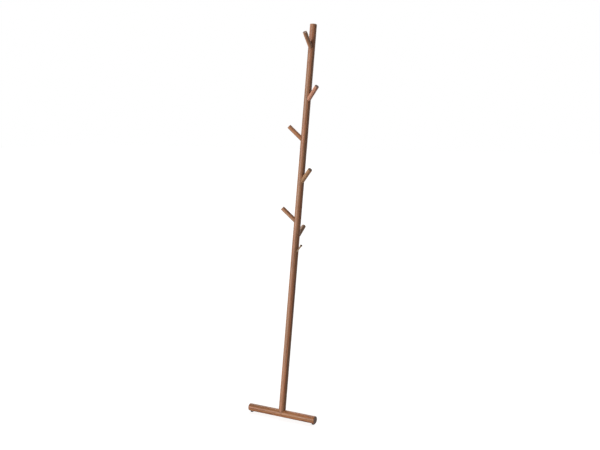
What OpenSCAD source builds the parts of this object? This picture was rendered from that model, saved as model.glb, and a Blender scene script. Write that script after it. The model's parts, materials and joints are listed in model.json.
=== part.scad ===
// Leaning coat rack in oiled walnut: a round pole on a round cross bar, six slanted pegs and a steel pin.
// The cross bar lies along X on two rubber feet, and the pole leans back along +Y onto a wall.
// The origin is on the floor, midway between the front of the cross bar and the wall.

/* [Pole] */
// Pole diameter
pole_d = 32; // [28:1:42]
// Pole length, from the cross bar's axis to the top
pole_l = 1785; // [1500:5:2000]
// Lean of the pole towards the wall, in degrees
lean = 9.5; // [6:0.5:14]
// Rounding of the pole's top edge
pole_edge = 1.2; // [0.4:0.2:2.4]

/* [Cross bar] */
// Cross bar diameter
bar_d = 34; // [32:1:46]
// Cross bar length
bar_l = 345; // [260:5:460]
// Rounding of the cross bar's end edges
bar_edge = 1.6; // [0.4:0.2:3]

/* [Pegs] */
// Peg diameter
peg_d = 20; // [14:1:22]
// Peg length, from the pole's axis to the tip
peg_l = 97; // [70:1:120]
// Angle between a peg and the pole above it
peg_tilt = 50; // [35:1:65]
// Turn from one peg direction to the next around the pole, where 0 is straight to the front
peg_step = 60; // [40:5:60]
// Turn of peg 6 around the pole, where 180 is straight to the wall
peg_6_turn = 185; // [175:1:190]
// Rounding of a peg's tip edge
peg_edge = 1; // [0.4:0.2:2]
// Drop of peg 1's root below the pole's top
peg_1_drop = 117; // [80:1:180]
// Drop of peg 2's root below the pole's top
peg_2_drop = 357; // [280:1:420]
// Drop of peg 3's root below the pole's top
peg_3_drop = 539; // [480:1:600]
// Drop of peg 4's root below the pole's top
peg_4_drop = 734; // [660:1:800]
// Drop of peg 5's root below the pole's top
peg_5_drop = 914; // [860:1:925]
// Drop of peg 6's root below the pole's top
peg_6_drop = 988; // [965:1:1005]

/* [Steel pin] */
// Pin diameter
pin_d = 7; // [4:0.5:9]
// Pin length, from the pole's axis to the top of its head
pin_l = 67; // [52:1:90]
// Pin head diameter
pin_head_d = 11; // [10.5:0.5:15]
// Pin head thickness
pin_head_h = 4; // [2:0.5:6]
// Rounding of the pin head's rim
pin_edge = 0.8; // [0.2:0.2:0.8]
// Drop of the pin's root below the pole's top
pin_drop = 1058; // [1035:1:1150]

/* [Bolted joint] */
// Bolt diameter, M6
bolt_d = 6; // [5:1:8]
// Bolt length under the head
bolt_l = 45; // [40:5:60]
// Bolt head diameter
bolt_head_d = 10; // [10:0.5:12]
// Bolt head height
bolt_head_h = 6; // [4:0.5:8]
// Width across flats of the bolt's hexagon socket
bolt_socket_w = 5; // [3:0.5:6]
// Depth of the bolt's hexagon socket
bolt_socket_h = 3; // [2:0.5:3.5]
// Depth of the bolt head's outer face inside the cross bar
bolt_recess = 1.5; // [1:0.5:3]
// Washer diameter
washer_d = 12; // [12:0.5:13]
// Washer thickness
washer_h = 1.6; // [1:0.2:2]
// Play between the washer or head and the wall of the counterbore
counterbore_gap = 0.5; // [0.2:0.1:1]
// Outer diameter of the threaded insert's ribs
insert_d = 10; // [9.5:0.5:13]
// Length of the threaded insert
insert_l = 15; // [10:1:20]
// Depth of the insert's ribs
insert_rib = 0.8; // [0.3:0.1:0.8]
// Number of ribs round the insert
insert_ribs = 5; // [3:1:7]
// Depth of the insert's near end inside the pole's saddle
insert_sink = 1; // [0.5:0.5:3]
// Free depth of the pole's bolt hole past the bolt's tip
bolt_tip_room = 3; // [1:0.5:6]

/* [Feet] */
// Foot diameter
foot_d = 14; // [12:1:18]
// Height of the feet below the cross bar
foot_h = 4; // [3:0.5:8]
// Distance of a foot's centre from the cross bar's end
foot_inset = 11; // [11:1:40]
// Rounding of a foot's bottom edge
foot_edge = 0.8; // [0.2:0.2:1.2]
// Foot screw diameter
screw_d = 3.5; // [3:0.5:4]
// Foot screw length
screw_l = 20; // [16:1:24]
// Foot screw head diameter
screw_head_d = 7; // [6:0.5:7.5]
// Foot screw head height
screw_head_h = 2.4; // [1.8:0.2:2.8]
// Width of the cross slot in the screw head
slot_w = 0.9; // [0.6:0.1:1.2]
// Depth of the cross slot in the screw head
slot_h = 1.2; // [0.8:0.1:1.4]
// Height of the screw head above the floor
screw_recess = 1.2; // [0.8:0.2:2]

/* [Wall buffer] */
// Buffer diameter
buffer_d = 14; // [10:1:16]
// Drop of the buffer's centre below the pole's top, along the pole
buffer_drop = 15; // [13:1:40]
// Distance that the buffer holds the pole's top corner off the wall
wall_gap = 1.5; // [1:0.5:6]
// Rounding of the buffer's rim
buffer_edge = 1; // [0.2:0.2:1.2]
// Diameter of the buffer's stem
stem_d = 6; // [4:0.5:7]
// Length of the buffer's stem
stem_l = 9; // [6:0.5:10]

/* [Fits] */
// Glue gap round a peg or the pin in its bore
glue_gap = 0.1; // [0.05:0.05:0.3]
// Gap between the pole's saddle and the cross bar
saddle_gap = 0.1; // [0.05:0.05:0.3]
// Play round the bolt in wood, washer and insert
bolt_gap = 0.2; // [0.1:0.05:0.4]
// Gap round the insert, a foot, a foot screw or the buffer in its seat
seat_gap = 0.1; // [0.05:0.05:0.2]
// Extra depth of the seats cut in the round wood, past the point where their rim is whole
seat_extra = 0.5; // [0.2:0.1:1]

/* [Hidden] */
$fn = 96;
hexagon = 6;
through = 1;
wood = "#a6785c";
rubber = "#2c2a28";
steel = "#b9b6b0";
brass = "#b8955c";
pole_r = pole_d / 2;
bar_r = bar_d / 2;
foot_r = foot_d / 2;
buffer_r = buffer_d / 2;
front = 270;
peg_drops = [peg_1_drop, peg_2_drop, peg_3_drop, peg_4_drop, peg_5_drop, peg_6_drop];
peg_turns = [0, peg_step, -peg_step, peg_step, -peg_step, peg_6_turn];
pin_turn = peg_step;
// The wall touches the buffer's face just past the top corner of the pole's back
wall_reach = pole_l * sin(lean) + pole_r * cos(lean) + wall_gap;
bar_y = (bar_r - wall_reach) / 2;
bar_z = foot_h + bar_r;
// The washer's seat, measured along the pole from the cross bar's axis
bolt_seat = bolt_recess + bolt_head_h + washer_h - bar_r;
bolt_tip = bolt_seat - washer_h + bolt_l;
counterbore_r = max(washer_d, bolt_head_d) / 2 + counterbore_gap;
insert_at = bar_r + saddle_gap + insert_sink;
// A flat seat in a round bar is whole once it is as deep as the bar's curve under its rim
foot_top = foot_h + bar_r - sqrt(bar_r ^ 2 - (foot_r + seat_gap) ^ 2) + seat_extra;
foot_x = bar_l / 2 - foot_inset;
buffer_at = pole_l - buffer_drop;
buffer_face = wall_reach - buffer_at * sin(lean);
buffer_rim = buffer_r + seat_gap;
buffer_seat = sqrt(pole_r ^ 2 - buffer_rim ^ 2) / cos(lean) - buffer_rim * tan(lean) - seat_extra;

// Frame of the pole: its origin is on the cross bar's axis, and +Z runs up the pole
module on_pole() translate([0, bar_y, bar_z]) rotate([-lean, 0, 0]) children();

// Frame of anything that slants out of the pole: its origin is on the pole's axis, and +Z runs outward
module on_slant(drop, turn) {
  on_pole() translate([0, 0, pole_l - drop]) rotate([0, peg_tilt, front + turn]) children();
}

// Frame of a peg
module on_peg(i) on_slant(peg_drops[i - 1], peg_turns[i - 1]) children();

// Frame of the steel pin
module on_pin() on_slant(pin_drop, pin_turn) children();

// Frame of a foot: its origin is on the floor, and side is -1 for left and 1 for right
module on_foot(side) translate([side * foot_x, bar_y, 0]) children();

// Frame of the wall buffer: its origin is on the pole's axis, and +Z runs level to the wall
module on_buffer() {
  translate([0, bar_y + buffer_at * sin(lean), bar_z + buffer_at * cos(lean)]) rotate([-90, 0, 0]) children();
}

// Round rod along +Z, with its far edge rounded, and its near edge too where both is true
module rod(d, l, edge, both = false) {
  near = both ? edge : 0;
  rotate_extrude() {
    translate([0, near]) square([d / 2, l - edge - near]);
    square([d / 2 - edge, l]);
    translate([d / 2 - edge, l - edge]) circle(edge);
    if (both) translate([d / 2 - edge, edge]) circle(edge);
  }
}

// Blind bore for a glued rod, open along +Z
module glue_bore(d, l) translate([0, 0, -glue_gap]) cylinder(h = l, d = d + 2 * glue_gap);

module pole() {
  color(wood) difference() {
    on_pole() rod(pole_d, pole_l, pole_edge);
    translate([-bar_l / 2, bar_y, bar_z]) rotate([0, 90, 0]) cylinder(h = bar_l, r = bar_r + saddle_gap);
    on_pole() cylinder(h = insert_at + insert_l, d = insert_d + 2 * seat_gap);
    on_pole() cylinder(h = max(bolt_tip, insert_at + insert_l) + bolt_tip_room, d = bolt_d + 2 * bolt_gap);
    for (i = [1 : len(peg_drops)]) on_peg(i) glue_bore(peg_d, peg_l);
    on_pin() glue_bore(pin_d, pin_l);
    on_buffer() translate([0, 0, buffer_seat]) cylinder(h = pole_d, r = buffer_rim);
    on_buffer() translate([0, 0, buffer_seat - stem_l - seat_gap]) cylinder(h = pole_d, d = stem_d + 2 * seat_gap);
  }
}

module cross_bar() {
  color(wood) difference() {
    translate([-bar_l / 2, bar_y, bar_z]) rotate([0, 90, 0]) rod(bar_d, bar_l, bar_edge, true);
    on_pole() translate([0, 0, -bar_d]) cylinder(h = 2 * bar_d, d = bolt_d + 2 * bolt_gap);
    on_pole() translate([0, 0, bolt_seat - bar_d]) cylinder(h = bar_d, r = counterbore_r);
    for (side = [-1, 1]) {
      on_foot(side) cylinder(h = foot_top, r = foot_r + seat_gap);
      on_foot(side) cylinder(h = screw_recess + screw_l + seat_gap, d = screw_d + 2 * seat_gap);
    }
  }
}

// Slanted peg, its root on the pole's axis
module peg(i) color(wood) on_peg(i) rod(peg_d, peg_l, peg_edge);

module steel_pin() {
  color(steel) on_pin() {
    cylinder(h = pin_l - pin_head_h / 2, d = pin_d);
    translate([0, 0, pin_l - pin_head_h]) rod(pin_head_d, pin_head_h, pin_edge, true);
  }
}

module joint_bolt() {
  color(steel) on_pole() translate([0, 0, bolt_seat - washer_h]) difference() {
    union() {
      cylinder(h = bolt_l, d = bolt_d);
      translate([0, 0, -bolt_head_h]) cylinder(h = bolt_head_h, d = bolt_head_d);
    }
    translate([0, 0, -bolt_head_h - through]) {
      cylinder(h = bolt_socket_h + through, d = bolt_socket_w / cos(180 / hexagon), $fn = hexagon);
    }
  }
}

module bolt_washer() {
  color(steel) on_pole() translate([0, 0, bolt_seat - washer_h]) difference() {
    cylinder(h = washer_h, d = washer_d);
    translate([0, 0, -through]) cylinder(h = washer_h + 2 * through, d = bolt_d + 2 * bolt_gap);
  }
}

// Sleeve with saw-tooth ribs outside
module threaded_insert() {
  pitch = insert_l / insert_ribs;
  bore_r = bolt_d / 2 + bolt_gap / 2;
  root_r = insert_d / 2 - insert_rib;
  teeth = [for (i = [0 : insert_ribs - 1], p = [[root_r, i * pitch], [insert_d / 2, (i + 1) * pitch]]) p];
  color(brass) on_pole() translate([0, 0, insert_at]) rotate_extrude() {
    polygon(concat([[bore_r, 0]], teeth, [[bore_r, insert_l]]));
  }
}

// Rubber foot, seated in the cross bar and countersunk from below for its screw
module foot(side) {
  hole_d = screw_d + 2 * seat_gap;
  sink_d = screw_head_d + 2 * seat_gap;
  color(rubber) on_foot(side) difference() {
    translate([0, 0, foot_top]) mirror([0, 0, 1]) rod(foot_d, foot_top, foot_edge);
    translate([0, 0, -through]) cylinder(h = foot_top + 2 * through, d = hole_d);
    translate([0, 0, -through]) cylinder(h = screw_recess + through, d = sink_d);
    translate([0, 0, screw_recess]) cylinder(h = screw_head_h, d1 = sink_d, d2 = hole_d);
  }
}

// Countersunk cross-head screw, driven up through a foot
module foot_screw(side) {
  color(steel) on_foot(side) translate([0, 0, screw_recess]) difference() {
    union() {
      cylinder(h = screw_head_h, d1 = screw_head_d, d2 = screw_d);
      cylinder(h = screw_l, d = screw_d);
    }
    for (turn = [0, 90]) {
      rotate([0, 0, turn]) cube([screw_head_d / 2, slot_w, 2 * slot_h], center = true);
    }
  }
}

// Rubber buffer, its stem pushed into the pole's back
module wall_buffer() {
  color(rubber) on_buffer() {
    translate([0, 0, buffer_seat]) rod(buffer_d, buffer_face - buffer_seat, buffer_edge);
    translate([0, 0, buffer_seat - stem_l]) cylinder(h = stem_l + buffer_edge, d = stem_d);
  }
}

pole();
cross_bar();
peg(1);  // peg_1_front
peg(2);  // peg_2_right
peg(3);  // peg_3_left
peg(4);  // peg_4_right
peg(5);  // peg_5_left
peg(6);  // peg_6_back
steel_pin();
joint_bolt();
bolt_washer();
threaded_insert();
foot(-1);  // foot_left
foot(1);  // foot_right
foot_screw(-1);  // foot_screw_left
foot_screw(1);  // foot_screw_right
wall_buffer();
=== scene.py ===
import json
import math

import bpy
from mathutils import Matrix, Vector


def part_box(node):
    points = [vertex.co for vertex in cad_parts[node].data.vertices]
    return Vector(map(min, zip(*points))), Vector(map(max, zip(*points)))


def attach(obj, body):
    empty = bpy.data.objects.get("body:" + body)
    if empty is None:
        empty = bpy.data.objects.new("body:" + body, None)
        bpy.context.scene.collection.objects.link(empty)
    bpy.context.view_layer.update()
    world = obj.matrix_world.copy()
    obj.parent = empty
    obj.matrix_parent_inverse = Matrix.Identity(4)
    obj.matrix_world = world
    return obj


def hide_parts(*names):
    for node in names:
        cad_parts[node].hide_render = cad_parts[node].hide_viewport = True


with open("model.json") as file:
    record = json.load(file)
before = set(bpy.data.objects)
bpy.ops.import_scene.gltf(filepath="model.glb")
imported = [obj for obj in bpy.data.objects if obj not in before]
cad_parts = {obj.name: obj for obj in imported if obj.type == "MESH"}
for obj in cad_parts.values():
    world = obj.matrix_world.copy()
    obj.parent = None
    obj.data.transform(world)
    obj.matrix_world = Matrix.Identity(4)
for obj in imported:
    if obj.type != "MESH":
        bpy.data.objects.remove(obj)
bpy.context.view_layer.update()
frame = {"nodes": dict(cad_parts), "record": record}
scene = bpy.context.scene
nodes = frame["nodes"]
mounts = {mount["name"]: mount for mount in frame["record"]["mounts"]}
mm = 0.001
xAxis, yAxis, zAxis = Vector((1, 0, 0)), Vector((0, 1, 0)), Vector((0, 0, 1))

bench = {
    "square": 0.999,         # how well a face has to look along an axis to be its end face
    "lengthwise": 0.99,      # and how well an edge has to run along it
    "centred": 0.02 * mm,
    "land": 0.3 * mm,        # flat ring left inside a rounded rim
    "rimSteps": 5,
    "smooth": 32.0,          # corners blunter than this are shaded smooth, in degrees
}


# Middle of a peg or of the pin, outside the pole, and the way it points
def hookAt(name):
    hook = mounts[name + "_hook"]
    return Vector(hook["pos_m"]), Vector(hook["axis"]).normalized()


def radiusOf(name):
    return mounts[name + "_hook"]["dims"]["r_mm"] * mm


def freeLength(name):
    return mounts[name + "_hook"]["dims"]["length_mm"] * mm


def boxCentre(node):
    low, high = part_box(node)
    return (low + high) / 2


# Lowest and highest reach of a node along an axis through origin, and its radius about that axis
def measure(node, origin, axis):
    offsets = [vertex.co - origin for vertex in nodes[node].data.vertices]
    along = [offset.dot(axis) for offset in offsets]
    return min(along), max(along), max(offset.cross(axis).length for offset in offsets)


pegs = ["peg_1_front", "peg_2_right", "peg_3_left", "peg_4_right", "peg_5_left", "peg_6_back"]
barCentre = boxCentre("cross_bar")
# Pegs 2 and 4 point the same way, so the line between them runs along the pole
poleAxis = (hookAt("peg_2_right")[0] - hookAt("peg_4_right")[0]).normalized()
barLow, barHigh, barRadius = measure("cross_bar", barCentre, xAxis)
barStart, barLength = barCentre + xAxis * barLow, barHigh - barLow
poleTop, poleRadius = measure("pole", barCentre, poleAxis)[1:]
print("frame read: the pole leans", round(math.degrees(poleAxis.angle(zAxis)), 2), "degrees")


# Where a peg or the pin starts on the pole's axis, the way it points, and where its free length ends
def rootOf(name):
    place, out = hookAt(name)
    behind = freeLength(name) / 2 + poleRadius / out.cross(poleAxis).length
    return place - out * behind, out, behind + freeLength(name) / 2


def selectOnly(piece):
    bpy.ops.object.select_all(action="DESELECT")
    piece.select_set(True)
    bpy.context.view_layer.objects.active = piece


# Round bar from a place along an axis, added at its own size and place
def turnRod(name, start, axis, radius, length, sides=96):
    bpy.ops.object.select_all(action="DESELECT")
    bpy.ops.mesh.primitive_cylinder_add(
        vertices=sides, radius=radius, depth=length, location=start + axis * (length / 2),
        rotation=axis.to_track_quat("Z", "Y").to_euler())
    piece = bpy.context.object
    piece.name = name
    bpy.ops.object.transform_apply(location=True, rotation=True, scale=True)
    return piece


# Opens a piece for editing with only the chosen faces or edges selected
def pick(piece, test, kind="polygons"):
    selectOnly(piece)
    mesh = piece.data
    bpy.context.tool_settings.mesh_select_mode = (False, kind == "edges", kind == "polygons")
    for parts in (mesh.vertices, mesh.edges, mesh.polygons):
        parts.foreach_set("select", [False] * len(parts))
    for part in getattr(mesh, kind):
        part.select = test(part)
    bpy.ops.object.mode_set(mode="EDIT")


def leaveEdit():
    bpy.ops.object.mode_set(mode="OBJECT")


# Test for the flat faces that look along an axis
def facing(axis):
    return lambda face: face.normal.dot(axis) > bench["square"]


# Test for the flat face that looks along an axis and has its middle on that axis
def capFacing(origin, axis):
    def test(face):
        offset = face.center - origin
        return face.normal.dot(axis) > bench["square"] and offset.cross(axis).length < bench["centred"]
    return test


# Cuts a rod across into even lengths
def cutRings(piece, axis, cuts):
    points = piece.data.vertices

    def lengthwise(edge):
        start, end = (points[i].co for i in edge.vertices)
        return abs((end - start).normalized().dot(axis)) > bench["lengthwise"]
    pick(piece, lengthwise, "edges")
    bpy.ops.mesh.subdivide(number_cuts=cuts)
    leaveEdit()


# Rounds the rim of the end that looks along an axis, and keeps a flat land inside it
def roundRim(piece, axis, edge):
    pick(piece, facing(axis))
    bpy.ops.mesh.bevel(offset=edge, segments=bench["rimSteps"], affect="EDGES")
    leaveEdit()
    pick(piece, facing(axis))
    bpy.ops.mesh.inset(thickness=bench["land"])
    leaveEdit()


# Carries the end that looks along an axis on through (place along the axis, radius) steps, as on a lathe
def turnOn(piece, origin, axis, start, steps):
    pick(piece, facing(axis))
    place, radius = start
    for nextPlace, nextRadius in steps:
        bpy.ops.mesh.extrude_region_move(TRANSFORM_OT_translate={"value": axis * (nextPlace - place)})
        grow = nextRadius / radius
        bpy.ops.transform.resize(value=(grow, grow, grow), center_override=origin + axis * nextPlace)
        place, radius = nextPlace, nextRadius
    leaveEdit()


# Cuts the tools out of a piece, and throws the tools away
def cutAway(piece, tools):
    for tool in tools:
        selectOnly(piece)
        bpy.ops.object.modifier_add(type="BOOLEAN")
        cut = piece.modifiers[-1]
        cut.operation = "DIFFERENCE"
        cut.solver = "EXACT"
        cut.object = tool
        bpy.ops.object.modifier_apply(modifier=cut.name)
        selectOnly(tool)
        bpy.ops.object.delete()


# Cutting tool of one radius between two places on an axis
def drill(origin, axis, low, high, radius, sides=96):
    return turnRod("drill", origin + axis * low, axis, radius, high - low, sides)


# Own copy of a piece, moved or turned into its place
def copyTo(piece, name, move):
    selectOnly(piece)
    bpy.ops.object.duplicate(linked=False)
    copy = bpy.context.object
    copy.name = name
    copy.matrix_world = move
    bpy.ops.object.transform_apply(location=True, rotation=True, scale=True)
    return copy


def finishPiece(piece, node, material):
    selectOnly(piece)
    bpy.ops.object.shade_smooth_by_angle(angle=math.radians(bench["smooth"]))
    piece.data.materials.clear()
    piece.data.materials.append(material)
    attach(piece, "root")
    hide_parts(node)


# A CAD node that is right as it stands only gets its finish
def dress(node, material):
    for slot in nodes[node].material_slots:
        slot.material = material


fits = {
    "glueGap": 0.1 * mm,         # round each peg and the pin in the pole
    "saddleGap": 0.1 * mm,       # between the pole's foot and the cross bar
    "seatGap": 0.1 * mm,         # round the insert, the feet, their screws and the buffer
    "boltGap": 0.2 * mm,
    "counterboreGap": 0.5 * mm,
    "past": 20.0 * mm,           # how far a drill runs out of the wood
}
boltLow, boltTip, boltHeadRadius = measure("joint_bolt", barCentre, poleAxis)
washerTop, washerRadius = measure("bolt_washer", barCentre, poleAxis)[1:]
insertTop, insertRadius = measure("threaded_insert", barCentre, poleAxis)[1:]
bufferCentre = boxCentre("wall_buffer")
stemEnd, bufferFace, bufferRadius = measure("wall_buffer", bufferCentre, yAxis)
footBases = [boxCentre("foot_" + side) for side in ("left", "right")]
for base in footBases:
    base.z = 0
footTop, footRadius = measure("foot_left", footBases[0], zAxis)[1:]
screwLow, screwTip, screwHeadRadius = measure("foot_screw_left", footBases[0], zAxis)

pole = {
    "edge": 1.2 * mm,
    "sides": 128,
    "rings": 60,
    "seed": 3.1,
    "pith": (0.022, -0.014),
    "contrast": 1.4,
    "tints": ((0.91, 0.79, 0.69, 1), (0.96, 0.88, 0.83, 1)),    # at the foot and at the top
}


def modelPole():
    piece = turnRod("pole_turned", barCentre, poleAxis, poleRadius, poleTop, pole["sides"])
    cutRings(piece, poleAxis, pole["rings"])
    roundRim(piece, poleAxis, pole["edge"])
    past, gap = fits["past"], fits["seatGap"]
    tools = [
        drill(barCentre, xAxis, -past - poleRadius, past + poleRadius, barRadius + fits["saddleGap"]),
        drill(barCentre, poleAxis, 0, insertTop, insertRadius + gap),
        drill(barCentre, poleAxis, 0, boltTip + bolt["tipRoom"], bolt["radius"] + fits["boltGap"]),
        drill(bufferCentre, yAxis, padBack, padBack + past, bufferRadius + gap),
        drill(bufferCentre, yAxis, stemEnd - gap, padBack + past, buffer["stemRadius"] + gap),
    ]
    for name in pegs + ["steel_pin"]:
        root, out, end = rootOf(name)
        tools.append(drill(root, out, -fits["glueGap"], end, radiusOf(name) + fits["glueGap"]))
    cutAway(piece, tools)
    return piece


bar = {
    "edge": 1.6 * mm,
    "sides": 128,
    "rings": 24,
    "seed": 15.2,
    "pith": (0.03, 0.012),
    "contrast": 1.9,
    "tints": ((0.88, 0.65, 0.42, 1), (0.85, 0.64, 0.43, 1)),    # at the left end and at the right end
}


def modelBar():
    piece = turnRod("cross_bar_turned", barStart, xAxis, barRadius, barLength, bar["sides"])
    cutRings(piece, xAxis, bar["rings"])
    for end in (xAxis, -xAxis):
        roundRim(piece, end, bar["edge"])
    past, gap = fits["past"] + barRadius, fits["seatGap"]
    tools = [
        drill(barCentre, poleAxis, -past, past, bolt["radius"] + fits["boltGap"]),
        drill(barCentre, poleAxis, -past, washerTop, washerRadius + fits["counterboreGap"]),
    ]
    for base in footBases:
        tools.append(drill(base, zAxis, -past, footTop, footRadius + gap))
        tools.append(drill(base, zAxis, -past, screwTip + gap, footScrew["radius"] + gap))
    cutAway(piece, tools)
    return piece


peg = {
    "edge": 1.0 * mm,
    "sides": 96,
    "rings": 9,
    "seed": 11.3,
    "seedStep": 2.7,
    "pith": (0.018, 0.01),
    "contrast": 1.5,
    # Each peg's colour also holds painted light and shade: the back peg is darkened as painted shadow of the
    # pole, and the two right-hand pegs are lightened as painted light
    "tints": [
        (1.09, 1.09, 1.06, 1), (1.46, 1.26, 1.38, 1), (1.03, 0.96, 0.83, 1),
        (1.22, 1.20, 1.04, 1), (1.09, 1.18, 1.20, 1), (0.73, 0.75, 0.68, 1)],
}


# One peg is turned on the bench, upright at the origin, and each peg is its copy
def modelPegs():
    blank = turnRod("peg_blank", Vector(), zAxis, radiusOf(pegs[0]), rootOf(pegs[0])[2], peg["sides"])
    cutRings(blank, zAxis, peg["rings"])
    roundRim(blank, zAxis, peg["edge"])
    made = []
    for name in pegs:
        root, out = rootOf(name)[:2]
        place = Matrix.Translation(root) @ out.to_track_quat("Z", "Y").to_matrix().to_4x4()
        made.append(copyTo(blank, name + "_turned", place))
    selectOnly(blank)
    bpy.ops.object.delete()
    return made


pin = {
    "neckRadius": 3.1 * mm,      # relief turned under the head
    "neckLength": 1.2 * mm,
    "edge": 0.8 * mm,            # rounding of the head's face
    "underEdge": 0.35 * mm,
    "dome": 0.25 * mm,
    "domeRises": (0.5, 0.3, 0.2),    # shares of the dome's height, from the rim inwards
    "domeInset": 0.28,               # how far in each ring goes, as a share of the face's radius
    "sides": 72,
    "endDarkness": 0.25,             # how dark the head's face is
}


def modelPin():
    root, out, neckEnd = rootOf("steel_pin")
    tip, headRadius = measure("steel_pin", root, out)[1:]
    radius, neck = radiusOf("steel_pin"), pin["neckRadius"]
    slope = radius - neck
    neckStart = neckEnd - pin["neckLength"]
    rimEnd, underEdge = tip - pin["dome"], pin["underEdge"]
    piece = turnRod("steel_pin_turned", root, out, radius, neckStart, pin["sides"])
    turnOn(piece, root, out, (neckStart, radius), [
        (neckStart + slope, neck), (neckEnd, neck), (neckEnd, headRadius - underEdge),
        (neckEnd + underEdge, headRadius), (rimEnd, headRadius)])
    roundRim(piece, out, pin["edge"])
    # The face rises in rings to a shallow dome
    for share in pin["domeRises"]:
        pick(piece, capFacing(root, out))
        bpy.ops.mesh.inset(thickness=(headRadius - pin["edge"]) * pin["domeInset"], depth=pin["dome"] * share)
        leaveEdit()
    return piece


bolt = {
    "radius": 3.0 * mm,
    "headHeight": 6.0 * mm,
    "chamfer": 0.5 * mm,
    "socketAcross": 5.0 * mm,    # hexagon socket, measured across its flats
    "socketDepth": 3.0 * mm,
    "knurl": 0.15 * mm,
    "tipRoom": 3.0 * mm,
    "point": 0.6 * mm,
    "sides": 64,
    "sideOn": 0.1,               # a face this square to the axis is one of the long ones
    "outside": 0.97,             # and it is the head's where it lies this far out
    "firstSide": (1, 0.335, 0),  # the knurl is counted from the face nearest to this side
}


def modelBolt():
    # Measured downwards from the bar's axis, the way the head looks
    down, headEnd, chamfer = -poleAxis, -boltLow, bolt["chamfer"]
    under = headEnd - bolt["headHeight"]
    piece = turnRod("joint_bolt_machined", barCentre + down * under, poleAxis, bolt["radius"],
                    under + boltTip - bolt["point"], bolt["sides"])
    turnOn(piece, barCentre, poleAxis, (boltTip - bolt["point"], bolt["radius"]), [
        (boltTip, bolt["radius"] - bolt["point"])])
    turnOn(piece, barCentre, down, (under, bolt["radius"]), [
        (under, boltHeadRadius - chamfer / 2), (under + chamfer / 2, boltHeadRadius),
        (headEnd - chamfer, boltHeadRadius), (headEnd, boltHeadRadius - chamfer)])
    # Every second long face of the head is pressed in, which leaves a straight knurl
    mesh = piece.data
    ring = [face.index for face in mesh.polygons
            if abs(face.normal.dot(poleAxis)) < bolt["sideOn"]
            and (face.center - barCentre).cross(poleAxis).length > boltHeadRadius * bolt["outside"]]
    across = max((mesh.polygons[index].normal.copy() for index in ring), key=Vector(bolt["firstSide"]).dot)
    up = across.cross(poleAxis)

    def pressed(face):
        if face.index not in ring:
            return False
        turn = math.atan2(face.normal.dot(up), face.normal.dot(across)) / (2 * math.pi) * bolt["sides"]
        return round(turn) % 2 == 0
    pick(piece, pressed)
    bpy.ops.mesh.inset(thickness=bolt["knurl"] / 2, depth=-bolt["knurl"], use_individual=True)
    leaveEdit()
    past = fits["past"]
    socket = drill(barCentre, poleAxis, boltLow - past, boltLow + bolt["socketDepth"],
                   bolt["socketAcross"] / 2 / math.cos(math.pi / 6), 6)
    cutAway(piece, [socket])
    return piece


footScrew = {
    "radius": 1.75 * mm,
    "headHeight": 2.4 * mm,
    "rim": 0.2 * mm,
    "slotWidth": 0.9 * mm,
    "slotDepth": 1.2 * mm,
    "slotTurns": (45, 135),
    "point": 4.0 * mm,
    "tip": 0.3 * mm,
    "sides": 48,
}


# Countersunk screw driven up through the left foot, and its copy through the right one
def modelFootScrews():
    base, down = footBases[0], -zAxis
    neck, pointStart = screwLow + footScrew["headHeight"], screwTip - footScrew["point"]
    piece = turnRod("foot_screw_left_machined", base + zAxis * neck, zAxis, footScrew["radius"],
                    pointStart - neck, footScrew["sides"])
    turnOn(piece, base, zAxis, (pointStart, footScrew["radius"]), [(screwTip, footScrew["tip"])])
    turnOn(piece, base, down, (-neck, footScrew["radius"]), [
        (-screwLow - footScrew["rim"], screwHeadRadius), (-screwLow, screwHeadRadius)])
    slots = []
    for turn in footScrew["slotTurns"]:
        bpy.ops.object.select_all(action="DESELECT")
        bpy.ops.mesh.primitive_cube_add(
            size=1, location=base + zAxis * screwLow, rotation=(0, 0, math.radians(turn)),
            scale=(screwHeadRadius, footScrew["slotWidth"], 2 * footScrew["slotDepth"]))
        bpy.ops.object.transform_apply(location=True, rotation=True, scale=True)
        slots.append(bpy.context.object)
    cutAway(piece, slots)
    return [piece, copyTo(piece, "foot_screw_right_machined", Matrix.Translation(footBases[1] - base))]


foot = {
    "edge": 0.8 * mm,
    "sides": 72,
}


def modelFeet():
    base, gap = footBases[0], fits["seatGap"]
    piece = turnRod("foot_left_moulded", base, zAxis, footRadius, footTop, foot["sides"])
    roundRim(piece, -zAxis, foot["edge"])
    # The hole follows the screw: a straight recess, the countersink, then the shank's bore
    past, headRadius, shank = fits["past"], screwHeadRadius + gap, footScrew["radius"] + gap
    hole = drill(base, zAxis, -past, screwLow, headRadius)
    turnOn(hole, base, zAxis, (screwLow, headRadius), [
        (screwLow + footScrew["headHeight"], shank), (footTop + past, shank)])
    cutAway(piece, [hole])
    return [piece, copyTo(piece, "foot_right_moulded", Matrix.Translation(footBases[1] - base))]


buffer = {
    "stemRadius": 3.0 * mm,
    "stemLength": 9.0 * mm,
    "edge": 1.0 * mm,
    "dimpleRadius": 2.6 * mm,
    "dimpleDepth": 0.4 * mm,
    "sides": 72,
}
padBack = stemEnd + buffer["stemLength"]


def modelBuffer():
    piece = turnRod("wall_buffer_moulded", bufferCentre + yAxis * stemEnd, yAxis, buffer["stemRadius"],
                    buffer["stemLength"], buffer["sides"])
    turnOn(piece, bufferCentre, yAxis, (padBack, buffer["stemRadius"]), [
        (padBack, bufferRadius), (bufferFace, bufferRadius)])
    roundRim(piece, yAxis, buffer["edge"])
    pick(piece, capFacing(bufferCentre, yAxis))
    bpy.ops.mesh.inset(thickness=bufferRadius - buffer["edge"] - buffer["dimpleRadius"])
    bpy.ops.mesh.inset(thickness=buffer["dimpleDepth"], depth=-buffer["dimpleDepth"])
    leaveEdit()
    return piece


def addNode(tree, kind, sockets={}, **settings):
    node = tree.nodes.new(kind)
    for key, value in settings.items():
        setattr(node, key, value)
    for key, value in sockets.items():
        if isinstance(value, bpy.types.NodeSocket):
            tree.links.new(value, node.inputs[key])
        else:
            node.inputs[key].default_value = value
    return node


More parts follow.
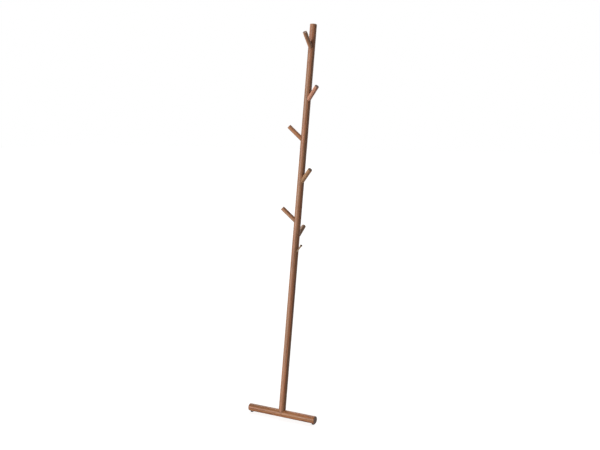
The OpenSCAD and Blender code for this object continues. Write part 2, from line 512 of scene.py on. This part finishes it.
def newMaterial(name):
    material = bpy.data.materials.new(name)
    material.use_nodes = True
    material.node_tree.nodes.clear()
    return material, material.node_tree


def finishMaterial(tree, shader):
    addNode(tree, "ShaderNodeOutputMaterial", {"Surface": shader})


def fromSrgb(red, green, blue):
    def linear(value):
        value /= 255
        return value / 12.92 if value <= 0.04045 else ((value + 0.055) / 1.055) ** 2.4
    return (linear(red), linear(green), linear(blue), 1)


# Object coordinates moved and turned, so that z runs along the rod from its middle
def rodCoords(tree, origin, axis):
    coords = addNode(tree, "ShaderNodeTexCoord")
    mapping = addNode(tree, "ShaderNodeMapping", {"Vector": coords.outputs["Object"]}, vector_type="TEXTURE")
    mapping.inputs["Location"].default_value = origin
    mapping.inputs["Rotation"].default_value = axis.to_track_quat("Z", "Y").to_euler()
    return coords, mapping.outputs["Vector"]


# Noise drawn out along z: across and along are the sizes of its features
def grainNoise(tree, vector, across, along, detail=3, roughness=0.5, distortion=0.0, offset=(0, 0, 0)):
    mapping = addNode(tree, "ShaderNodeMapping", {"Vector": vector})
    mapping.inputs["Scale"].default_value = (1 / across, 1 / across, 1 / along)
    mapping.inputs["Location"].default_value = offset
    return addNode(tree, "ShaderNodeTexNoise", {
        "Vector": mapping.outputs["Vector"], "Scale": 1.0, "Detail": detail,
        "Roughness": roughness, "Distortion": distortion}).outputs["Fac"]


def colourRamp(tree, fac, stops):
    node = addNode(tree, "ShaderNodeValToRGB", {"Fac": fac})
    while len(node.color_ramp.elements) < len(stops):
        node.color_ramp.elements.new(0.5)
    for element, (place, colour) in zip(node.color_ramp.elements, stops):
        element.position = place
        element.color = colour
    return node.outputs["Color"]


def mapRange(tree, value, low, high, newLow=0.0, newHigh=1.0):
    return addNode(tree, "ShaderNodeMapRange", {
        "Value": value, "From Min": low, "From Max": high,
        "To Min": newLow, "To Max": newHigh}).outputs["Result"]


def maths(tree, operation, first, second=0.0):
    return addNode(tree, "ShaderNodeMath", {0: first, 1: second}, operation=operation).outputs[0]


def vectorMaths(tree, operation, first, second=(0, 0, 0), result="Vector"):
    return addNode(tree, "ShaderNodeVectorMath", {0: first, 1: second}, operation=operation).outputs[result]


def blendColour(tree, fac, first, second, mode="MIX"):
    node = addNode(tree, "ShaderNodeMix", data_type="RGBA", blend_type=mode)
    for socket, value in ((node.inputs[0], fac), (node.inputs[6], first), (node.inputs[7], second)):
        if isinstance(value, bpy.types.NodeSocket):
            tree.links.new(value, socket)
        else:
            socket.default_value = value
    return node.outputs[2]


walnut = {
    "light": fromSrgb(190, 143, 112),
    "middle": fromSrgb(166, 119, 89),
    "dark": fromSrgb(118, 80, 58),
    "pore": fromSrgb(66, 42, 30),
    "endGrain": 0.45,     # how dark the oil leaves the end grain
    "rim": 0.18,          # how much lighter the worn edges are
    "paintedJointShade": 0.45,         # how dark the painted shade is right at a joint
    "paintedShadeWidth": 3.5 * mm,
    "paintedShadeStart": 4 * mm,
    "paintedShadePower": 2.0,
    "ringGap": 4.5 * mm,
    "ringScale": 0.314,   # turns ringGap into the wave texture's own scale
    "ringDistortion": 5.0,
    "ringDetail": 3.0,
    "ringDetailScale": 0.6,
    "ringDetailRoughness": 0.6,
    "runOut": 25.0,       # tilt of the stretched ring pattern, in degrees
    "stretch": 0.05,
    # Size across and along the grain, detail, roughness, distortion
    "tone": (22 * mm, 260 * mm, 2, 0.5, 0.4),
    "hue": (14 * mm, 340 * mm, 2, 0.5, 0.3),
    "streaks": (5 * mm, 48 * mm, 3, 0.55, 0.5),
    "fibres": (1.1 * mm, 40 * mm, 4, 0.62, 0.2),
    "pores": (0.42 * mm, 7 * mm, 1, 0.4, 0.0),
    "hueShift": 1.7,
    "weights": (0.2, 0.28, 0.32, 0.2),    # of the rings, tone, streaks and fibres in the figure
    "darkAt": 0.18,       # how far below and above the middle the figure is darkest and lightest
    "lightAt": 0.14,
    "middleAt": 0.48,
    "hueRange": (0.38, 0.62),
    "fibreRange": (0.3, 0.7),
    "woodRange": (0.1, 0.9),    # from early wood to late wood in a ring
    "poreRange": (0.62, 0.70),
    "poreFade": (0.9, 0.35),    # how strong pores are in early wood and in late wood
    "endRange": (0.75, 0.97),
    "rimRange": (0.2, 0.5),
    "rimFade": (0.97, 0.8),
    "roughness": 0.46,
    "fibreShine": (0.06, -0.05),
    "poreRough": 0.25,
    "fibreHeight": 0.35,
    "bump": 0.35,
    "bumpDepth": 0.15 * mm,
    "gloss": 0.34,
    "reddish": (1.08, 0.95, 0.89, 1),
    "olive": (0.93, 1.03, 1.05, 1),
}


# Painted shade in the crease where rods meet: the wood darkens within a set width of the rods that meet this
# one
def paintedJointShadeMask(tree, position, joints):
    total = 0.0
    for place, axis, radius, start in joints:
        offset = vectorMaths(tree, "SUBTRACT", position, place)
        away = vectorMaths(tree, "LENGTH", vectorMaths(tree, "CROSS_PRODUCT", offset, axis), result="Value")
        mask = mapRange(tree, away, radius, radius + walnut["paintedShadeWidth"], 1.0, 0.0)
        if start is not None:
            # Only where the other rod stands out, not on the far side of this one
            along = vectorMaths(tree, "DOT_PRODUCT", offset, axis, result="Value")
            mask = maths(tree, "MULTIPLY", mask, mapRange(
                tree, along, start - walnut["paintedShadeStart"], start + walnut["paintedShadeStart"]))
        total = maths(tree, "MAXIMUM", total, mask)
    return maths(tree, "MULTIPLY", maths(tree, "POWER", total, walnut["paintedShadePower"]), walnut["paintedJointShade"])


seedShift = Vector((0.371, 0.593, 0.817))    # spreads the seeds, so that no two rods share a figure


# Oiled walnut for one rod: growth rings round a pith beside it, fibres, pores, dark end grain, and painted
# shade where other rods meet it
def makeWalnut(name, origin, axis, length, seed, pith, joints, contrast, tints):
    material, tree = newMaterial(name)
    coords, rod = rodCoords(tree, origin, axis)
    shift = seedShift * seed
    rings = addNode(tree, "ShaderNodeMapping", {"Vector": rod})
    rings.inputs["Location"].default_value = (pith[0], pith[1], shift.z)
    rings.inputs["Rotation"].default_value = (math.radians(walnut["runOut"]), 0, seed)
    rings.inputs["Scale"].default_value = (1, 1, walnut["stretch"])
    wave = addNode(tree, "ShaderNodeTexWave", {
        "Vector": rings.outputs["Vector"], "Scale": walnut["ringScale"] / walnut["ringGap"],
        "Distortion": walnut["ringDistortion"], "Detail": walnut["ringDetail"],
        "Detail Scale": walnut["ringDetailScale"], "Detail Roughness": walnut["ringDetailRoughness"],
        "Phase Offset": seed},
        wave_type="RINGS", rings_direction="Z", wave_profile="SAW").outputs["Fac"]
    tone, streaks, fibres, pores = (
        grainNoise(tree, rod, *walnut[kind], shift) for kind in ("tone", "streaks", "fibres", "pores"))
    hue = grainNoise(tree, rod, *walnut["hue"], shift * walnut["hueShift"])
    figure = 0.0
    for pattern, weight in zip((wave, tone, streaks, fibres), walnut["weights"]):
        figure = maths(tree, "ADD", figure, maths(tree, "MULTIPLY", pattern, weight))
    colour = colourRamp(tree, figure, [
        (0.5 - walnut["darkAt"] / contrast, walnut["dark"]), (walnut["middleAt"], walnut["middle"]),
        (0.5 + walnut["lightAt"] / contrast, walnut["light"])])
    along = addNode(tree, "ShaderNodeSeparateXYZ", {0: rod}).outputs["Z"]
    # Tint along the rod; on the pegs it also carries their painted light and shade
    tintAndPaintedLight = blendColour(tree, mapRange(tree, along, 0.0, length), tints[0], tints[1])
    colour = blendColour(tree, 1.0, colour, tintAndPaintedLight, "MULTIPLY")
    cast = blendColour(tree, mapRange(tree, hue, *walnut["hueRange"]), walnut["reddish"], walnut["olive"])
    colour = blendColour(tree, 1.0, colour, cast, "MULTIPLY")
    poreMask = mapRange(tree, pores, *walnut["poreRange"])
    poreMask = maths(tree, "MULTIPLY", poreMask, mapRange(
        tree, wave, *walnut["woodRange"], *walnut["poreFade"]))
    colour = blendColour(tree, poreMask, colour, walnut["pore"])
    # The end faces look along the rod, and the rounded edges lie between both
    facingEnd = vectorMaths(tree, "DOT_PRODUCT", coords.outputs["Normal"], axis, "Value")
    facingEnd = maths(tree, "ABSOLUTE", facingEnd)
    endMask = mapRange(tree, facingEnd, *walnut["endRange"])
    rimMask = maths(tree, "MULTIPLY", mapRange(tree, facingEnd, *walnut["rimRange"]),
                    mapRange(tree, facingEnd, *walnut["rimFade"]))
    dark = walnut["endGrain"]
    oiledEnd = blendColour(tree, 1.0, colour, (dark, dark, dark, 1), "MULTIPLY")
    colour = blendColour(tree, endMask, colour, oiledEnd)
    colour = blendColour(tree, maths(tree, "MULTIPLY", rimMask, walnut["rim"]), colour, walnut["light"])
    # Painted shade where the other rods meet this one
    colour = blendColour(tree, paintedJointShadeMask(tree, coords.outputs["Object"], joints), colour, walnut["pore"])
    shine = mapRange(tree, fibres, *walnut["fibreRange"], *walnut["fibreShine"])
    rough = maths(tree, "ADD", shine, walnut["roughness"])
    rough = maths(tree, "ADD", rough, maths(tree, "MULTIPLY", poreMask, walnut["poreRough"]))
    height = maths(tree, "SUBTRACT", maths(tree, "MULTIPLY", fibres, walnut["fibreHeight"]), poreMask)
    bump = addNode(tree, "ShaderNodeBump", {
        "Height": height, "Strength": walnut["bump"], "Distance": walnut["bumpDepth"]})
    shader = addNode(tree, "ShaderNodeBsdfPrincipled", {
        "Base Color": colour, "Roughness": rough, "Normal": bump.outputs["Normal"],
        "Specular IOR Level": walnut["gloss"]})
    finishMaterial(tree, shader.outputs["BSDF"])
    return material


# Colour, roughness and width of the lathe grooves of each metal
metals = {
    "satinSteel": (fromSrgb(144, 119, 95), 0.34, 0.12 * mm),
    "zincSteel": (fromSrgb(188, 190, 190), 0.38, 0.2 * mm),
    "insertBrass": (fromSrgb(205, 172, 98), 0.36, 0.2 * mm),
    "grooveWidth": 40 * mm,
    "grooves": (2, 0.6),        # detail and roughness
    "grooveRange": (0.3, 0.7),
    "tarnish": (3 * mm, 5 * mm, 4, 0.6, 0.6),
    "tarnishRange": (0.42, 0.66),
    "stain": 0.72,              # how much of its colour the tarnished metal keeps
    "endFaceRange": (0.55, 0.9),
    "shine": (-0.05, 0.07),
    "bump": 0.25,
    "bumpDepth": 0.05 * mm,
}


# Turned metal with fine lathe grooves round its axis and a little tarnish, and, when asked, a darker end face
def makeMetal(name, origin, axis, endDarkness=0.0):
    colour, roughness, grooves = metals[name]
    material, tree = newMaterial(name)
    coords, rod = rodCoords(tree, origin, axis)
    lathe = grainNoise(tree, rod, metals["grooveWidth"], grooves, *metals["grooves"])
    tarnish = grainNoise(tree, rod, *metals["tarnish"])
    stained = tuple(channel * metals["stain"] for channel in colour[:3]) + (1,)
    shade = blendColour(tree, mapRange(tree, tarnish, *metals["tarnishRange"]), colour, stained)
    if endDarkness:
        darkEnd = tuple(channel * endDarkness for channel in colour[:3]) + (1,)
        endFace = vectorMaths(tree, "DOT_PRODUCT", coords.outputs["Normal"], axis, "Value")
        shade = blendColour(tree, mapRange(tree, endFace, *metals["endFaceRange"]), shade, darkEnd)
    rough = maths(tree, "ADD", mapRange(tree, lathe, *metals["grooveRange"], *metals["shine"]), roughness)
    bump = addNode(tree, "ShaderNodeBump", {
        "Height": lathe, "Strength": metals["bump"], "Distance": metals["bumpDepth"]})
    shader = addNode(tree, "ShaderNodeBsdfPrincipled", {
        "Base Color": shade, "Metallic": 1.0, "Roughness": rough, "Normal": bump.outputs["Normal"]})
    finishMaterial(tree, shader.outputs["BSDF"])
    return material


rubber = {
    "clean": fromSrgb(38, 35, 33),
    "dusty": fromSrgb(66, 61, 56),
    "dustRange": (0.5, 0.75),
    "roughRange": (0.3, 0.7),
    "grain": (0.35 * mm, 0.35 * mm, 3, 0.6),
    "dust": (4 * mm, 4 * mm, 4, 0.6),
    "roughness": (0.62, 0.8),    # where it is clean and where it is dusty
    "bump": 0.3,
    "bumpDepth": 0.08 * mm,
}


# Matt dark rubber with a fine moulded grain and some dust
def makeRubber(name):
    material, tree = newMaterial(name)
    coords = addNode(tree, "ShaderNodeTexCoord").outputs["Object"]
    grain = grainNoise(tree, coords, *rubber["grain"])
    dust = grainNoise(tree, coords, *rubber["dust"])
    colour = blendColour(tree, mapRange(tree, dust, *rubber["dustRange"]), rubber["clean"], rubber["dusty"])
    bump = addNode(tree, "ShaderNodeBump", {
        "Height": grain, "Strength": rubber["bump"], "Distance": rubber["bumpDepth"]})
    shader = addNode(tree, "ShaderNodeBsdfPrincipled", {
        "Base Color": colour, "Roughness": mapRange(
            tree, dust, *rubber["roughRange"], *rubber["roughness"]),
        "Normal": bump.outputs["Normal"]})
    finishMaterial(tree, shader.outputs["BSDF"])
    return material


# Rods that meet: a place on the axis, its way, the radius, and where that rod starts to stand out
standing = []
for name in pegs + ["steel_pin"]:
    root, out = rootOf(name)[:2]
    standing.append((root, out, radiusOf(name), 0.0))
poleJoint = (barCentre, poleAxis, poleRadius, 0.0)
barJoint = (barCentre, xAxis, barRadius, None)
finishPiece(modelPole(), "pole", makeWalnut(
    "poleWalnut", barCentre, poleAxis, poleTop, pole["seed"], pole["pith"], standing + [barJoint],
    pole["contrast"], pole["tints"]))
finishPiece(modelBar(), "cross_bar", makeWalnut(
    "barWalnut", barStart, xAxis, barLength, bar["seed"], bar["pith"], [poleJoint],
    bar["contrast"], bar["tints"]))
print("pole and cross bar turned and drilled")

for count, (name, piece) in enumerate(zip(pegs, modelPegs())):
    root, out, end = rootOf(name)
    finishPiece(piece, name, makeWalnut(
        name + "Walnut", root, out, end, peg["seed"] + peg["seedStep"] * count, peg["pith"],
        [(root, poleAxis, poleRadius, None)], peg["contrast"], (peg["tints"][count], peg["tints"][count])))
print("pegs turned:", len(pegs))

pinRoot, pinOut = rootOf("steel_pin")[:2]
finishPiece(modelPin(), "steel_pin", makeMetal("satinSteel", pinRoot, pinOut, pin["endDarkness"]))
zinc = makeMetal("zincSteel", barCentre, poleAxis)
finishPiece(modelBolt(), "joint_bolt", zinc)
for side, piece in zip(("left", "right"), modelFootScrews()):
    finishPiece(piece, "foot_screw_" + side, zinc)
dress("bolt_washer", zinc)
dress("threaded_insert", makeMetal("insertBrass", barCentre, poleAxis))
print("pin, bolt and screws machined")

footRubber = makeRubber("footRubber")
for side, piece in zip(("left", "right"), modelFeet()):
    finishPiece(piece, "foot_" + side, footRubber)
finishPiece(modelBuffer(), "wall_buffer", footRubber)
print("feet and wall buffer moulded")

studio = {
    "ambient": 0.03,
    "keyAzimuth": -28.0,     # where the key comes from, seen from above: 0 is straight in front
    "keyHeight": 11.0,
    "keyStrength": 2.75,
    "keySpread": 22.0,
    "backAzimuth": 205.0,
    "backHeight": 50.0,
    "backStrength": 1.7,
    "backSpread": 40.0,
    "floorPaint": 0.4,
    "floorGlow": 0.86,        # what the camera and the metal see of the floor's own white
    "floorBounce": 0.05,     # what that white throws back up on the wood
    "floorSize": 60.0,
}


def addSun(name, azimuth, height, strength, spread):
    lamp = bpy.data.lights.new(name, "SUN")
    lamp.energy = strength
    lamp.angle = math.radians(spread)
    sun = bpy.data.objects.new(name, lamp)
    scene.collection.objects.link(sun)
    # A sun shines along its own -Z
    sun.rotation_euler = (math.radians(90 - height), 0, math.radians(azimuth))


# White for the rays that look at the studio, and dim for those that light the rack
def seenStrength(tree, dim, bright):
    path = addNode(tree, "ShaderNodeLightPath").outputs
    seen = maths(tree, "MAXIMUM", path["Is Camera Ray"], path["Is Glossy Ray"])
    seen = maths(tree, "MAXIMUM", seen, path["Is Transmission Ray"])
    return mapRange(tree, seen, 0.0, 1.0, dim, bright)


addSun("keyLight", studio["keyAzimuth"], studio["keyHeight"], studio["keyStrength"], studio["keySpread"])
addSun("backLight", studio["backAzimuth"], studio["backHeight"], studio["backStrength"], studio["backSpread"])

world = bpy.data.worlds.new("studioWorld")
scene.world = world
world.use_nodes = True
skyTree = world.node_tree
skyTree.nodes.clear()
sky = addNode(skyTree, "ShaderNodeBackground", {
    "Color": (1, 1, 1, 1), "Strength": seenStrength(skyTree, studio["ambient"], 1.0)})
addNode(skyTree, "ShaderNodeOutputWorld", {"Surface": sky.outputs["Background"]})

bpy.ops.mesh.primitive_plane_add(size=studio["floorSize"], location=(0, 0, 0))
floor = bpy.context.object
floor.name = "floor"
floorMaterial, floorTree = newMaterial("paleFloor")
grey = studio["floorPaint"]
paint = addNode(floorTree, "ShaderNodeBsdfDiffuse", {"Color": (grey, grey, grey, 1)})
glow = addNode(floorTree, "ShaderNodeEmission", {
    "Color": (1, 1, 1, 1), "Strength": seenStrength(floorTree, studio["floorBounce"], studio["floorGlow"])})
both = addNode(floorTree, "ShaderNodeAddShader", {0: paint.outputs["BSDF"], 1: glow.outputs["Emission"]})
finishMaterial(floorTree, both.outputs["Shader"])
floor.data.materials.append(floorMaterial)
print("studio lit")

camera = {
    "azimuth": 30.679,    # degrees round to the right of straight in front of the cross bar
    "distance": 3.5,
    "height": 1.3429,
    "pitch": 7.4349,
    "turn": -1.346,      # how far it looks past the cross bar's middle
    "lens": 47.93,
    "sensor": 36,
    "nearest": 0.05,
    "farthest": 100,
}
cameraData = bpy.data.cameras.new("camera")
cameraObject = bpy.data.objects.new("camera", cameraData)
scene.collection.objects.link(cameraObject)
around = math.radians(camera["azimuth"])
cameraObject.location = (
    camera["distance"] * math.sin(around),
    barCentre.y - camera["distance"] * math.cos(around), camera["height"])
cameraObject.rotation_euler = (
    math.radians(90 - camera["pitch"]), 0, math.radians(camera["azimuth"] + camera["turn"]))
cameraData.lens = camera["lens"]
cameraData.sensor_width = camera["sensor"]
cameraData.clip_start, cameraData.clip_end = camera["nearest"], camera["farthest"]
scene.camera = cameraObject
scene.view_settings.view_transform = "Standard"
print("camera set")
